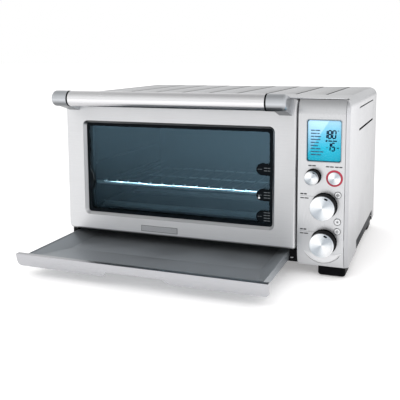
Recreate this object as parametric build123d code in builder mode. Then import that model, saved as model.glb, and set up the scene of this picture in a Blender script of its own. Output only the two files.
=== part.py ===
"""Countertop convection toaster oven with a drawn-out crumb tray.

Row frame: +Z up, front towards -Y, +X to the right, millimetres. The origin is under the
middle of the bounding box, on the worktop. Depths are measured from the flat front face of
the door and fascia, and front_y places that face in the row frame.
"""
from build123d import *
import os

os.makedirs("parts", exist_ok=True)

# ---- driving dimensions ----
case_width = 470
case_top = 269
case_depth = 346
ground_gap = 17.5
spacer_length = 10
tray_drawn = 152

cover_skin = 1.2
cover_corner = 14
sheet = 1.2
gap = 0.3

# ---- the bowed front that door, fascia and tray lip share ----
bow_low = 46
bow_high = 246
bow_foot_setback = 8
bow_head_setback = 11

# ---- places worked out from them ----
front_y = (tray_drawn - case_depth - spacer_length) / 2
half_width = case_width / 2
door_left = -half_width
door_right = 158
door_middle = (door_left + door_right) / 2
door_bottom = 40.5
door_top = 267
door_shell = 20
door_back = 28
cover_start = 31
fascia_left = 160
fascia_right = 229.3
fascia_bottom = ground_gap
fascia_depth = 16

cavity_half = 169.5
cavity_left = door_middle - cavity_half
cavity_right = door_middle + cavity_half
cavity_floor = 55
cavity_roof = 240
cavity_front = 33
cavity_back = 318
divider_x = 154

hinge_depth = 9
hinge_height = 50
hinge_pin_radius = 3
hinge_running_gap = 0.05

# ---- the door window ----
glass_left = -199
glass_right = 121
glass_bottom = 71
glass_top = 222
recess_width = 5.6
recess_depth = 4
glass_seat = 6

# ---- the handle ----
handle_depth = -40
handle_height = 264.7
handle_radius = 12.3
handle_bore = 10.9
handle_half = 161.5
handle_end = 28.5
ring_width = 1.6
arm_width = 19
arm_foot = 243

# ---- controls on the fascia: centre x, centre z, knob radius, proud length ----
knob_x = 200.2
temperature_z = 111.8
time_z = 57
big_knob_radius = 18.3
big_knob_proud = 20
function_x = 183.2
function_z = 154.3
small_knob_radius = 10.8
small_knob_proud = 16
well_gap = 1.1
start_x = 214.2
start_z = 153.2
start_radius = 9.5
ring_radius = 12.2
key_x = 219.7
key_heights = (128.8, 88.9, 74.5)
key_radius = 5.2
pad_radius = 31
display_x = 198.1
display_z = 207.5
display_width = 52.2
display_height = 63.4

# ---- the wire rack ----
rack_depth = 40
rack_height = 115.2
rack_half = 165
rack_length = 250
rail_radius = 2.4
wire_radius = 1.4
wire_pitch = 21

# ---- heating elements: depth of each tube behind the front face ----
tube_radius = 5
top_elements = (80, 175, 270)
bottom_elements = (72, 192)
top_element_height = 228
bottom_element_height = 70

# ---- the crumb tray ----
tray_half = 184.5
tray_rim = 35
tray_floor = 22.5
tray_back = 300
tray_slope = 25
lip_left = -234
lip_right = 156.5
lip_bottom = 18
lip_top = 38


def facing(depth):
    """Sketch plane across the oven, looking forwards: local x to the right, local y up."""
    return Plane.XZ.offset(-(front_y + depth))


def across(x):
    """Sketch plane along the oven: local x towards the back, local y up."""
    return Plane.YZ.offset(x)


def level(z):
    return Plane.XY.offset(z)


def block(x0, x1, y0, y1, z0, z1, mode=Mode.ADD):
    """A box between two corners, its depths measured behind the front face."""
    centre = ((x0 + x1) / 2, front_y + (y0 + y1) / 2, (z0 + z1) / 2)
    with Locations(centre):
        return Box(x1 - x0, y1 - y0, z1 - z0, mode=mode)


def rod(x, y, z, radius, length, axis, mode=Mode.ADD):
    """A cylinder centred on a point, along "x", "y" or "z"."""
    turn = {"x": (0, 90, 0), "y": (90, 0, 0), "z": (0, 0, 0)}[axis]
    with Locations((x, front_y + y, z)):
        return Cylinder(radius, length, rotation=turn, mode=mode)


def span(x0, x1, y, z, radius, mode=Mode.ADD):
    """A cylinder along X between two places."""
    return rod((x0 + x1) / 2, y, z, radius, x1 - x0, "x", mode)


def disc(x, z, radius, y0, y1, mode=Mode.ADD):
    """A cylinder along Y between two depths."""
    return rod(x, (y0 + y1) / 2, z, radius, y1 - y0, "y", mode)


def keep(part, name):
    part.label = name
    export_step(part, f"parts/{name}.step")


# ---- everything in front of the bowed face, used to cut the front pieces ----
with BuildPart() as bow_waste:
    with BuildSketch(across(-case_width)):
        with BuildLine():
            low = (front_y, bow_low)
            high = (front_y, bow_high)
            foot = (front_y + bow_foot_setback, ground_gap)
            head = (front_y + bow_head_setback, door_top + 1)
            Line(low, high)
            TangentArc(high, head, tangent=(0, 1))
            TangentArc(low, foot, tangent=(0, -1))
            Polyline(head, (head[0], 300), (front_y - 90, 300), (front_y - 90, -10), (foot[0], -10), foot)
        make_face()
    extrude(amount=2 * case_width)


# ---- outer cover: one folded sheet over the sides and top ----
def arch(margin):
    """Inverted U outline, open below the case."""
    height = case_top - margin
    with Locations((0, height / 2 - 10)):
        outline = Rectangle(case_width - 2 * margin, height + 20)
    fillet(outline.vertices().group_by(Axis.Y)[-1], cover_corner - margin)


groove_count = 8
groove_pitch = 49
groove_last = 184.5
groove_start = 92
groove_end = 338
groove_width = 3
groove_sink = 0.8
vent_start = 101
vent_end = 287
vent_low = 212.5
vent_high = 250
low_slot = 3.4
high_slot = 2
end_slot = 1.8
grip_start = 97
grip_end = 314
grip_height = 37
edge_round = 4.6

with BuildPart() as outer_cover:
    with BuildSketch(facing(case_depth)):
        arch(0)
    extrude(amount=case_depth)
    add(bow_waste.part, mode=Mode.SUBTRACT)
    front_rim = outer_cover.edges().filter_by(lambda e: e.center().Y < front_y + bow_head_setback + 0.5)
    right_rim = front_rim.filter_by(lambda e: e.center().X > fascia_right and e.length > 25)
    fillet(right_rim, edge_round)
    block(-half_width - 1, door_right + gap, -5, cover_start, -15, door_top + 0.6, mode=Mode.SUBTRACT)
    block(-half_width - 1, -half_width + cover_corner, -5, cover_start, -15, 280, mode=Mode.SUBTRACT)
    block(door_right, fascia_right + gap, -5, cover_start, -15, door_top + 0.6, mode=Mode.SUBTRACT)
    block(
        door_right, half_width - 1.8, 8, cover_start, -15, door_top + 0.6 - cover_corner, mode=Mode.SUBTRACT,
    )
    with BuildSketch(facing(case_depth + 5)):
        arch(cover_skin)
    extrude(amount=case_depth + 5 - cover_start, mode=Mode.SUBTRACT)
    block(-half_width - 1, half_width + 1, -5, case_depth + 1, -25, ground_gap + 0.5, mode=Mode.SUBTRACT)
    for number in range(groove_count):
        centre = groove_last - number * groove_pitch
        with BuildSketch(level(case_top)):
            with Locations((centre, front_y + (groove_start + groove_end) / 2)):
                SlotOverall(groove_end - groove_start, groove_width, rotation=90)
        extrude(amount=-groove_sink, mode=Mode.SUBTRACT)
    wall = (half_width - 3, half_width + 1)
    block(*wall, vent_start, vent_end, vent_low, vent_low + low_slot, Mode.SUBTRACT)
    block(*wall, vent_start, vent_end, vent_high - high_slot, vent_high, Mode.SUBTRACT)
    block(*wall, vent_end - end_slot, vent_end, vent_low, vent_high, Mode.SUBTRACT)
    for side in (-1, 1):
        outside = side * (half_width + 1)
        inside = side * (half_width - 3)
        block(min(outside, inside), max(outside, inside), grip_start, grip_end, 0, grip_height, Mode.SUBTRACT)
keep(outer_cover.part, "outer_cover")


# ---- rear panel, base plate and the black front frame ----
def grille(width, height, columns, rows, pitch_x, pitch_y):
    """Rows of upright vent slots in the current sketch."""
    with GridLocations(pitch_x, pitch_y, columns, rows):
        SlotOverall(height, width, rotation=90)


rear_inset = 4
gland_x = 195
gland_z = 45
gland_hole = 8

with BuildPart() as rear_panel:
    block(-233.3, 233.3, case_depth - rear_inset - sheet, case_depth - rear_inset, 20, 267.3)
    fillet(rear_panel.edges().filter_by(Axis.Y).group_by(Axis.Z)[-1], cover_corner - cover_skin)
    with BuildSketch(facing(case_depth)):
        with Locations((190, 210)):
            grille(3, 26, 9, 2, 7, 34)
        with Locations((-40, 228)):
            grille(3, 24, 25, 1, 9, 30)
        with Locations((-40, 62)):
            grille(3, 24, 25, 1, 9, 30)
    extrude(amount=10, mode=Mode.SUBTRACT)
    disc(gland_x, gland_z, gland_hole, 330, 350, mode=Mode.SUBTRACT)
    with Locations(*((x, front_y + case_depth, z) for x in (-222, 222) for z in (34, 246))):
        Cylinder(1.8, 20, rotation=(90, 0, 0), mode=Mode.SUBTRACT)
keep(rear_panel.part, "rear_panel")

base_front = fascia_depth + 0.5
base_half = 233
foot_places = tuple((x, y) for x in (-210, 210) for y in (34, 312))
foot_width = 41

with BuildPart() as base_plate:
    base_back = case_depth - rear_inset - sheet - 0.1
    block(-base_half, base_half, base_front, base_back, ground_gap, ground_gap + sheet)
    with BuildSketch(level(ground_gap - 1)):
        with Locations((door_middle, front_y + 190)):
            grille(4, 40, 16, 3, 20, 62)
        with Locations((192, front_y + 180)):
            grille(4, 60, 4, 2, 12, 80)
    extrude(amount=4, mode=Mode.SUBTRACT)
    for x, y in foot_places:
        rod(x, y, ground_gap, 2.1, 8, "z", mode=Mode.SUBTRACT)
    for side in (-1, 1):
        block(
            min(side * base_half, side * 230), max(side * base_half, side * 230),
            grip_start + 1, grip_end - 1, ground_gap, grip_height - 1,
        )
keep(base_plate.part, "base_plate")

block_front = 10
tongue_height = 25
frame_blocks = (
    (door_middle - tray_half - 2, -233.4, -1),
    (door_middle + tray_half + 1.5, door_right - 0.4, 1),
)

with BuildPart() as front_frame:
    block(-233.4, divider_x, cover_start, cover_start + sheet, ground_gap + sheet + 0.1, 267)
    fillet(front_frame.edges().filter_by(Axis.Y).group_by(Axis.Z)[-1].sort_by(Axis.X)[0], cover_corner - 1.4)
    block(cavity_left, cavity_right, 20, 40, cavity_floor, cavity_roof, Mode.SUBTRACT)
    block(door_middle - tray_half - 9, door_middle + tray_half + 2, 20, 40, 0, tray_rim + 4, Mode.SUBTRACT)
    for inner, outer, side in frame_blocks:
        block(min(inner, outer), max(inner, outer), block_front, cover_start, ground_gap + 2, lip_top)
        tongue = sorted((inner + side * 0.3, inner + side * 6.5))
        slot_low, slot_high = tongue_height - 0.4, tongue_height + 1.6
        block(*tongue, block_front - 1, cover_start + 3, slot_low, slot_high, Mode.SUBTRACT)
keep(front_frame.part, "front_frame")

with BuildPart() as divider_panel:
    block(divider_x, divider_x + sheet, cover_start + 1, 338, ground_gap + sheet + 0.2, 266)
    rod(divider_x, 175, 147, 26, 10, "x", mode=Mode.SUBTRACT)
    with BuildSketch(across(divider_x - 5)):
        with Locations((front_y + 290, 80)):
            grille(3, 24, 6, 2, 8, 34)
    extrude(amount=10, mode=Mode.SUBTRACT)
keep(divider_panel.part, "divider_panel")

# ---- oven cavity: open front, rack ledges at three levels, tube holes and the fan mouth ----
rack_levels = (rack_height - 36.5, rack_height, rack_height + 36.5)
ledge = 4
tube_hole = tube_radius + 1.2
element_places = [(y, top_element_height) for y in top_elements]
element_places += [(y, bottom_element_height) for y in bottom_elements]
fan_depth = 175
fan_height = 147
fan_mouth = 52

with BuildPart() as oven_cavity:
    block(cavity_left, cavity_right, cavity_front, cavity_back, cavity_floor, cavity_roof)
    fillet(oven_cavity.edges().filter_by(Axis.Y), 6)
    cavity_door = oven_cavity.faces().sort_by(Axis.Y)[0]
    offset(amount=-sheet, openings=cavity_door)
    for height in rack_levels:
        under = height - rail_radius - gap
        for wall, inward in ((cavity_left, 1), (cavity_right, -1)):
            inner, outer = wall + inward * (sheet + ledge), wall + inward * 0.4
            block(min(inner, outer), max(inner, outer), 46, 300, under - 4, under)
    for y, z in element_places:
        span(cavity_left - 5, cavity_right + 5, y, z, tube_hole, mode=Mode.SUBTRACT)
    span(cavity_right - 8, cavity_right + 5, fan_depth, fan_height, fan_mouth, mode=Mode.SUBTRACT)
keep(oven_cavity.part, "oven_cavity")

# ---- quartz heating elements in ceramic end caps ----
for number, (y, z) in enumerate(element_places, 1):
    with BuildPart() as element:
        span(cavity_left - 4, cavity_right + 4, y, z, tube_radius)
    keep(element.part, f"heating_element_{number}")

with BuildPart() as element_holders:
    for y, z in element_places:
        for wall, side in ((cavity_left, -1), (cavity_right, 1)):
            inner, outer = wall + side * 4, wall + side * 14
            span(min(inner, outer), max(inner, outer), y, z, tube_radius + 2.5)
            inner, outer = wall + side * 0.2, wall + side * 4
            span(min(inner, outer), max(inner, outer), y, z, tube_radius + 4)
            span(min(inner, outer), max(inner, outer), y, z, tube_radius, mode=Mode.SUBTRACT)
keep(element_holders.part, "element_holders")

# ---- convection fan in its housing behind the right wall ----
fan_hub_x = cavity_right + 12
impeller_radius = 44

with BuildPart() as fan_cover:
    span(cavity_right - 1.4, cavity_right - 0.2, fan_depth, fan_height, fan_mouth - 0.5)
    with BuildSketch(across(cavity_right - 3)):
        with Locations((front_y + fan_depth, fan_height)):
            for ring, count in ((12, 6), (24, 12), (36, 18)):
                with PolarLocations(ring, count):
                    SlotOverall(9, 3.4)
    extrude(amount=5, mode=Mode.SUBTRACT)
keep(fan_cover.part, "fan_cover")

with BuildPart() as fan_housing:
    span(cavity_right + 0.1, divider_x - 0.4, fan_depth, fan_height, fan_mouth + 8)
    span(cavity_right + 0.1, divider_x - 1.8, fan_depth, fan_height, fan_mouth + 2, mode=Mode.SUBTRACT)
    span(cavity_right, divider_x, fan_depth, fan_height, 5, mode=Mode.SUBTRACT)
keep(fan_housing.part, "fan_housing")

with BuildPart() as fan_motor:
    span(divider_x + sheet + 0.3, divider_x + 34, fan_depth, fan_height, 24)
    span(divider_x - 0.3, divider_x + sheet + 0.3, fan_depth, fan_height, 18)
    block(divider_x + 8, divider_x + 28, fan_depth - 29, fan_depth + 29, fan_height - 22, fan_height + 22)
    span(divider_x - 1, divider_x + 12, fan_depth, fan_height, 3.1, mode=Mode.SUBTRACT)
keep(fan_motor.part, "fan_motor")

with BuildPart() as fan_impeller:
    span(fan_hub_x - 6, fan_hub_x - 5, fan_depth, fan_height, impeller_radius)
    span(fan_hub_x - 8, fan_hub_x + 1, fan_depth, fan_height, 8)
    span(fan_hub_x, divider_x + 10, fan_depth, fan_height, 3.05)
    with BuildSketch(across(fan_hub_x - 5.5)):
        with Locations((front_y + fan_depth, fan_height)):
            with PolarLocations(28, 10):
                Rectangle(26, 1.2, rotation=25)
    extrude(amount=7)
keep(fan_impeller.part, "fan_impeller")


# ---- control fascia with wells for the knobs, a display opening and key holes ----
knobs = {
    "function": (function_x, function_z, small_knob_radius, small_knob_proud),
    "temperature": (knob_x, temperature_z, big_knob_radius, big_knob_proud),
    "time": (knob_x, time_z, big_knob_radius, big_knob_proud),
}

with BuildPart() as control_fascia:
    block(fascia_left, fascia_right, 0, fascia_depth, fascia_bottom + 0.2, door_top)
    add(bow_waste.part, mode=Mode.SUBTRACT)
    front_rim = control_fascia.edges().filter_by(lambda e: e.center().Y < front_y + bow_head_setback + 0.5)
    fillet(front_rim, 1)
    disc(knob_x - 1.6, time_z - 0.4, pad_radius, 0, 11)
    block(fascia_right, fascia_right + 9, -2, 12, 0, 99, mode=Mode.SUBTRACT)
    block(fascia_left + 2, fascia_right - 2, 2.6, 30, bow_low - 4, bow_high + 4, mode=Mode.SUBTRACT)
    block(fascia_left + 4, fascia_right - 4, 11, 30, fascia_bottom + 3, door_top - 3, mode=Mode.SUBTRACT)
    for x, z, radius, proud in knobs.values():
        disc(x, z, radius + well_gap, -2, 20, mode=Mode.SUBTRACT)
    disc(start_x, start_z, ring_radius + 0.1, -2, 20, mode=Mode.SUBTRACT)
    for z in key_heights:
        disc(key_x, z, key_radius + 0.3, -2, 20, mode=Mode.SUBTRACT)
    with BuildSketch(facing(5)):
        with Locations((display_x, display_z)):
            RectangleRounded(display_width, display_height, 4)
    extrude(amount=10, mode=Mode.SUBTRACT)
keep(control_fascia.part, "control_fascia")

# ---- display: rim, window and the module behind it ----
rim_width = 1.3
window_width = display_width - 2 * rim_width
window_height = display_height - 2 * rim_width

with BuildPart() as display_rim:
    with BuildSketch(facing(2.5)):
        with Locations((display_x, display_z)):
            RectangleRounded(display_width - 0.1, display_height - 0.1, 3.9)
            RectangleRounded(window_width, window_height, 2.8, mode=Mode.SUBTRACT)
    extrude(amount=3)
    fillet(display_rim.faces().sort_by(Axis.Y)[0].edges(), 0.4)
keep(display_rim.part, "display_rim")

with BuildPart() as display_window:
    with BuildSketch(facing(1.7)):
        with Locations((display_x, display_z)):
            RectangleRounded(window_width - 0.1, window_height - 0.1, 2.7)
    extrude(amount=1.5)
keep(display_window.part, "display_window")

with BuildPart() as display_module:
    with Locations((display_x, front_y + 5.85, display_z)):
        Box(display_width + 3, 6.3, display_height + 3)
keep(display_module.part, "display_module")

# ---- knob wells, encoders, switches and boards behind the fascia ----
shaft_radius = 3
shaft_gap = 0.06

with BuildPart() as knob_wells:
    for x, z, radius, proud in knobs.values():
        disc(x, z, radius + well_gap - 0.1, 0.6, 6)
        disc(x, z, radius + 0.4, 0, 4.4, mode=Mode.SUBTRACT)
        disc(x, z, 4.2, 0, 10, mode=Mode.SUBTRACT)
keep(knob_wells.part, "knob_wells")

with BuildPart() as rotary_encoders:
    for x, z, radius, proud in knobs.values():
        block(x - 6.5, x + 6.5, 9.2, 16.8, z - 6.5, z + 6.5)
        disc(x, z, 4, 4.6, 9.2)
        disc(x, z, shaft_radius + shaft_gap, 3, 15, mode=Mode.SUBTRACT)
keep(rotary_encoders.part, "rotary_encoders")

with BuildPart() as start_light_ring:
    disc(start_x, start_z, ring_radius, -0.8, 4)
    fillet(start_light_ring.faces().sort_by(Axis.Y)[0].edges(), 0.6)
    disc(start_x, start_z, start_radius + 0.15, -3, 6, mode=Mode.SUBTRACT)
keep(start_light_ring.part, "start_light_ring")

with BuildPart() as push_switches:
    block(start_x - 5, start_x + 5, 12, 16.8, start_z - 5, start_z + 5)
    for z in key_heights:
        block(key_x - 3, key_x + 3, 12, 16.8, z - 3, z + 3)
keep(push_switches.part, "push_switches")

with BuildPart() as control_board:
    block(fascia_left + 5, fascia_right - 4.5, 17, 18.6, 34, 246)
    block(fascia_left + 12, fascia_left + 28, 18.6, 21.6, 196, 212)
    block(fascia_left + 36, fascia_left + 46, 18.6, 20.6, 80, 96)
keep(control_board.part, "control_board")

with BuildPart() as power_board:
    block(224, 225.6, 160, 300, 60, 200)
    block(200, 224, 180, 210, 150, 180)
    for y in (230, 256, 282):
        block(208, 224, y - 8, y + 8, 80, 100)
    rod(214, 200, 110, 9, 20, "x")
keep(power_board.part, "power_board")

# ---- knobs, start button and the round keys ----
def knob(x, z, radius, proud):
    """Dished metal face over a dark skirt, with its shaft."""
    disc(x, z, radius, -proud, 0.4)
    fillet(edges().filter_by(GeomType.CIRCLE).sort_by(Axis.Y)[0], 0.8)
    disc(x, z, radius + 0.25, -0.6, 2)
    disc(x, z, shaft_radius, 2, 13)


for name, (x, z, radius, proud) in knobs.items():
    with BuildPart() as control_knob:
        knob(x, z, radius, proud)
    keep(control_knob.part, f"{name}_knob")

with BuildPart() as start_button:
    disc(start_x, start_z, start_radius, -2, 3)
    fillet(start_button.faces().sort_by(Axis.Y)[0].edges(), 0.6)
    disc(start_x, start_z, 2, 3, 9.8)
keep(start_button.part, "start_button")

key_names = ("convection", "frozen", "unit")
for name, z in zip(key_names, key_heights):
    with BuildPart() as key:
        disc(key_x, z, key_radius, -0.7, 3)
        fillet(key.faces().sort_by(Axis.Y)[0].edges(), 0.4)
        disc(key_x, z, 1.2, 3, 10.8)
    keep(key.part, f"{name}_key")

# ---- door: pressed outer frame, inner frame, two panes ----
hinge_arm = (door_left + 6, door_right - 10)
arm_thickness = 4
plate_thickness = 3
plate_starts = (hinge_arm[0] + arm_thickness + 2, hinge_arm[1] - 2 - plate_thickness)

with BuildPart() as door_frame:
    block(door_left, door_right, 0, door_shell, door_bottom, door_top)
    add(bow_waste.part, mode=Mode.SUBTRACT)
    corner_edges = door_frame.edges().filter_by(Axis.Y)
    fillet(corner_edges.group_by(Axis.X)[0], 9)
    fillet(corner_edges.group_by(Axis.X)[-1], 4.6)
    front_face_rim = door_frame.edges().filter_by(lambda e: e.center().Y < front_y + bow_head_setback + 0.5)
    fillet(front_face_rim, 4.2)
    hollow = (door_left + 2, door_right - 2)
    block(*hollow, glass_seat + 0.1, 40, door_bottom + 2, bow_high + 2, mode=Mode.SUBTRACT)
    block(*hollow, 13.5, 40, door_bottom + 2, door_top - 2, mode=Mode.SUBTRACT)
    with BuildSketch(facing(10)):
        with Locations(((glass_left + glass_right) / 2, (glass_bottom + glass_top) / 2)):
            RectangleRounded(glass_right - glass_left, glass_top - glass_bottom, 5)
    extrude(amount=12, mode=Mode.SUBTRACT)
    opening_rim = door_frame.faces().filter_by(Plane.XZ).sort_by(Axis.Y)[0].inner_wires()[0].edges()
    chamfer(opening_rim, recess_depth, recess_width)
    for x, plate in zip(hinge_arm, plate_starts):
        block(x - 1.5, x + arm_thickness + 1.5, 2.6, 40, door_bottom - 1, 64, mode=Mode.SUBTRACT)
        block(plate - 0.5, plate + plate_thickness + 0.5, 5.6, 14, 45, 55, mode=Mode.SUBTRACT)
keep(door_frame.part, "door_frame")

inner_margin = 2
frame_left = glass_left + inner_margin
frame_right = glass_right - inner_margin
frame_bottom = glass_bottom + inner_margin
frame_top = glass_top - inner_margin
pane_seat = 6

with BuildPart() as door_glass_outer:
    pane = (glass_left - 7, glass_right + 7)
    block(*pane, glass_seat + 0.15, glass_seat + 4.15, glass_bottom - 7, glass_top + 7)
    fillet(door_glass_outer.edges().filter_by(Axis.Y), 4)
keep(door_glass_outer.part, "door_glass_outer")

with BuildPart() as door_inner_frame:
    block(door_left + 2.3, door_right - 2.3, 14, door_back, 64.5, door_top - 3)
    block(door_left + 14, door_right - 16, 10.6, 14, 64.5, 246)
    with BuildSketch(facing(door_back + 1)):
        with Locations(((frame_left + frame_right) / 2, (frame_bottom + frame_top) / 2)):
            RectangleRounded(frame_right - frame_left, frame_top - frame_bottom, 5)
    extrude(amount=30, mode=Mode.SUBTRACT)
    block(
        frame_left - pane_seat, frame_right + pane_seat, 22, 27,
        frame_bottom - pane_seat, frame_top + pane_seat, mode=Mode.SUBTRACT,
    )
    block(door_left + 8, frame_left - 14, 17, 40, 70, door_top - 9, mode=Mode.SUBTRACT)
    block(frame_right + 14, door_right - 8, 17, 40, 70, door_top - 9, mode=Mode.SUBTRACT)
    for x in (frame_left - 6, frame_right + 6):
        block(x - 3.1, x + 3.1, 9, 16, 111.9, 128.1, mode=Mode.SUBTRACT)
keep(door_inner_frame.part, "door_inner_frame")

with BuildPart() as door_glass_inner:
    block(
        frame_left - pane_seat + 0.2, frame_right + pane_seat - 0.2, 22.3, 26.3,
        frame_bottom - pane_seat + 0.2, frame_top + pane_seat - 0.2,
    )
keep(door_glass_inner.part, "door_glass_inner")

with BuildPart() as door_magnets:
    for x in (frame_left - 6, frame_right + 6):
        block(x - 3, x + 3, 10.8, 15.8, 112, 128)
keep(door_magnets.part, "door_magnets")

# ---- handle: tube between two rings and two cast ends that reach back to the door ----
with BuildPart() as handle_tube:
    span(door_middle - handle_half, door_middle + handle_half, handle_depth, handle_height, handle_radius)
    span(door_middle - handle_half - 1, door_middle + handle_half + 1, handle_depth, handle_height,
         handle_bore, mode=Mode.SUBTRACT)
keep(handle_tube.part, "handle_tube")

with BuildPart() as handle_rings:
    for side in (-1, 1):
        inner = door_middle + side * (handle_half + 0.05)
        outer = door_middle + side * (handle_half + ring_width)
        span(min(inner, outer), max(inner, outer), handle_depth, handle_height, handle_radius - 0.7)
keep(handle_rings.part, "handle_rings")

cap_radius = handle_radius + 0.3

for name, side in (("left", -1), ("right", 1)):
    inner = door_middle + side * (handle_half + ring_width + 0.05)
    outer = door_middle + side * (handle_half + ring_width + handle_end)
    arm_x = outer - side * (2.5 + arm_width)
    with BuildPart() as casting:
        span(min(inner, outer), max(inner, outer), handle_depth, handle_height, cap_radius)
        end_face = casting.faces().filter_by(GeomType.PLANE).sort_by(Axis.X)[-1 if side > 0 else 0]
        fillet(end_face.edges(), 6)
        with BuildSketch(across(min(arm_x, outer - side * 2.5))):
            with BuildLine():
                Polyline(
                    (front_y + handle_depth + 2, handle_height + cap_radius - 1.2),
                    (front_y + 14, door_top - 1),
                    (front_y + 14, arm_foot - 2),
                    (front_y, arm_foot),
                    (front_y + handle_depth + 4, handle_height - cap_radius + 0.8),
                    close=True,
                )
            make_face()
        extrude(amount=arm_width)
        add(bow_waste.part, mode=Mode.INTERSECT)
    keep(casting.part, f"handle_end_{name}")

with BuildPart() as door_badge:
    block(-98.5, -34, -0.8, -0.02, 46.5, 57)
    fillet(door_badge.edges().filter_by(Axis.Y), 1)
    block(-96.5, -36, -2, -0.5, 48.5, 55, mode=Mode.SUBTRACT)
keep(door_badge.part, "door_badge")

# ---- hinges: fixed arms with pins, and bored plates on the door ----
for name, x in zip(("left", "right"), hinge_arm):
    with BuildPart() as bracket:
        block(x, x + arm_thickness, hinge_depth, cover_start - 0.05, hinge_height - 5, hinge_height + 5)
        span(x, x + arm_thickness, hinge_depth, hinge_height, 5)
        block(x, x + arm_thickness, cover_start - 2, cover_start - 0.05, hinge_height - 5, hinge_height + 11)
        span(x - 1, x + arm_thickness + 1, hinge_depth, hinge_height, hinge_pin_radius, mode=Mode.SUBTRACT)
    keep(bracket.part, f"hinge_bracket_{name}")

with BuildPart() as hinge_pins:
    for x, plate in zip(hinge_arm, plate_starts):
        low, high = min(x, plate), max(x + arm_thickness, plate + plate_thickness)
        span(low, high, hinge_depth, hinge_height, hinge_pin_radius)
keep(hinge_pins.part, "hinge_pins")

with BuildPart() as hinge_plates:
    for x in plate_starts:
        block(x, x + plate_thickness, glass_seat + 0.2, 19, door_bottom + 2.1, 64)
        span(x - 1, x + plate_thickness + 1, hinge_depth, hinge_height,
             hinge_pin_radius + hinge_running_gap, mode=Mode.SUBTRACT)
keep(hinge_plates.part, "hinge_plates")

# ---- wire rack ----
with BuildPart() as wire_rack:
    rack_level = rack_height
    back = rack_depth + rack_length
    for y in (rack_depth, back):
        span(door_middle - rack_half, door_middle + rack_half, y, rack_level, rail_radius)
    for side in (-1, 1):
        rod(door_middle + side * rack_half, rack_depth + rack_length / 2, rack_level,
            rail_radius, rack_length, "y")
        for y in (rack_depth, back):
            with Locations((door_middle + side * rack_half, front_y + y, rack_level)):
                Sphere(rail_radius)
    for y in (rack_depth + 85, rack_depth + 165):
        span(door_middle - rack_half, door_middle + rack_half, y, rack_level, 1.8)
    for number in range(-7, 8):
        rod(door_middle + number * wire_pitch, rack_depth + rack_length / 2,
            rack_level + rail_radius + wire_radius - 0.6, wire_radius, rack_length + 4, "y")
keep(wire_rack.part, "wire_rack")

# ---- crumb tray: shallow pan with sloped walls, an apron and side skirts, and its front lip ----
apron_end = 95
pan_front = 4


def pan_space(margin):
    """The tray's hollow, grown by a margin, as a private solid."""
    foot = tray_floor + 1 - margin
    rim = tray_rim
    with BuildPart(mode=Mode.PRIVATE) as side_shape:
        with BuildSketch(across(door_middle - tray_half - 5)):
            with BuildLine():
                Polyline(
                    (front_y + pan_front - margin, rim + 1),
                    (front_y + pan_front - margin, rim - 1.5 - margin),
                    (front_y + apron_end, foot), (front_y + tray_back - 16, foot),
                    (front_y + tray_back - 1 + margin, rim - 1), (front_y + tray_back - 1 + margin, rim + 1),
                    close=True,
                )
            make_face()
        extrude(amount=2 * tray_half + 10)
    with BuildPart(mode=Mode.PRIVATE) as end_shape:
        with BuildSketch(facing(tray_back + 5)):
            with BuildLine():
                half = tray_half - 1 + margin
                Polyline(
                    (door_middle - half, rim + 1), (door_middle - half, rim - 1),
                    (door_middle - half + tray_slope, foot), (door_middle + half - tray_slope, foot),
                    (door_middle + half, rim - 1), (door_middle + half, rim + 1),
                    close=True,
                )
            make_face()
        extrude(amount=tray_back + 20)
    return side_shape.part & end_shape.part


pan_inside = pan_space(0)
pan_outside = pan_space(1)

with BuildPart() as crumb_tray:
    add(pan_outside)
    sides = (door_middle - tray_half, door_middle + tray_half)
    block(*sides, pan_front - 1, tray_back, 0, tray_rim, Mode.INTERSECT)
    for side in (-1, 1):
        edge = door_middle + side * tray_half
        skin = edge - side * 1
        block(min(edge, skin), max(edge, skin), pan_front + 6, tray_back, tray_floor - 0.5, tray_rim)
    add(pan_inside, mode=Mode.SUBTRACT)
    block(lip_left, lip_right, -5, pan_front + 0.1, 0, 60, mode=Mode.SUBTRACT)
keep(crumb_tray.part.moved(Location((0, -tray_drawn, 0))), "crumb_tray")

notch_bottom = 100
notch_top = 88
notch_height = 7.5
lip_return = 9
lip_skin = 1.5

with BuildPart() as lip_hollow:
    block(lip_left + lip_skin, lip_right - lip_skin, 0, lip_return + 9, 0, lip_top - lip_skin)
    add(bow_waste.part, mode=Mode.SUBTRACT)

with BuildPart() as tray_lip:
    block(lip_left, lip_right, 0, lip_return, lip_bottom, lip_top)
    add(bow_waste.part, mode=Mode.SUBTRACT)
    fillet(tray_lip.edges().filter_by(Axis.Y).group_by(Axis.Z)[0], 6)
    add(lip_hollow.part.moved(Location((0, lip_skin, 0))), mode=Mode.SUBTRACT)
    with BuildSketch(facing(20)):
        with BuildLine():
            Polyline(
                (door_middle - notch_bottom / 2, lip_bottom),
                (door_middle - notch_top / 2, lip_bottom + notch_height),
                (door_middle + notch_top / 2, lip_bottom + notch_height),
                (door_middle + notch_bottom / 2, lip_bottom),
                (door_middle + notch_bottom / 2, lip_bottom - 4),
                (door_middle - notch_bottom / 2, lip_bottom - 4),
                close=True,
            )
        make_face()
    extrude(amount=30, mode=Mode.SUBTRACT)
    notch_corners = tray_lip.edges().filter_by(Axis.Y).filter_by(
        lambda e: abs(abs(e.center().X - door_middle) - notch_top / 2) < 0.5 and e.center().Z > lip_bottom + 5
    )
    fillet(notch_corners, 2.5)
keep(tray_lip.part.moved(Location((0, -tray_drawn, 0))), "tray_lip")

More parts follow.
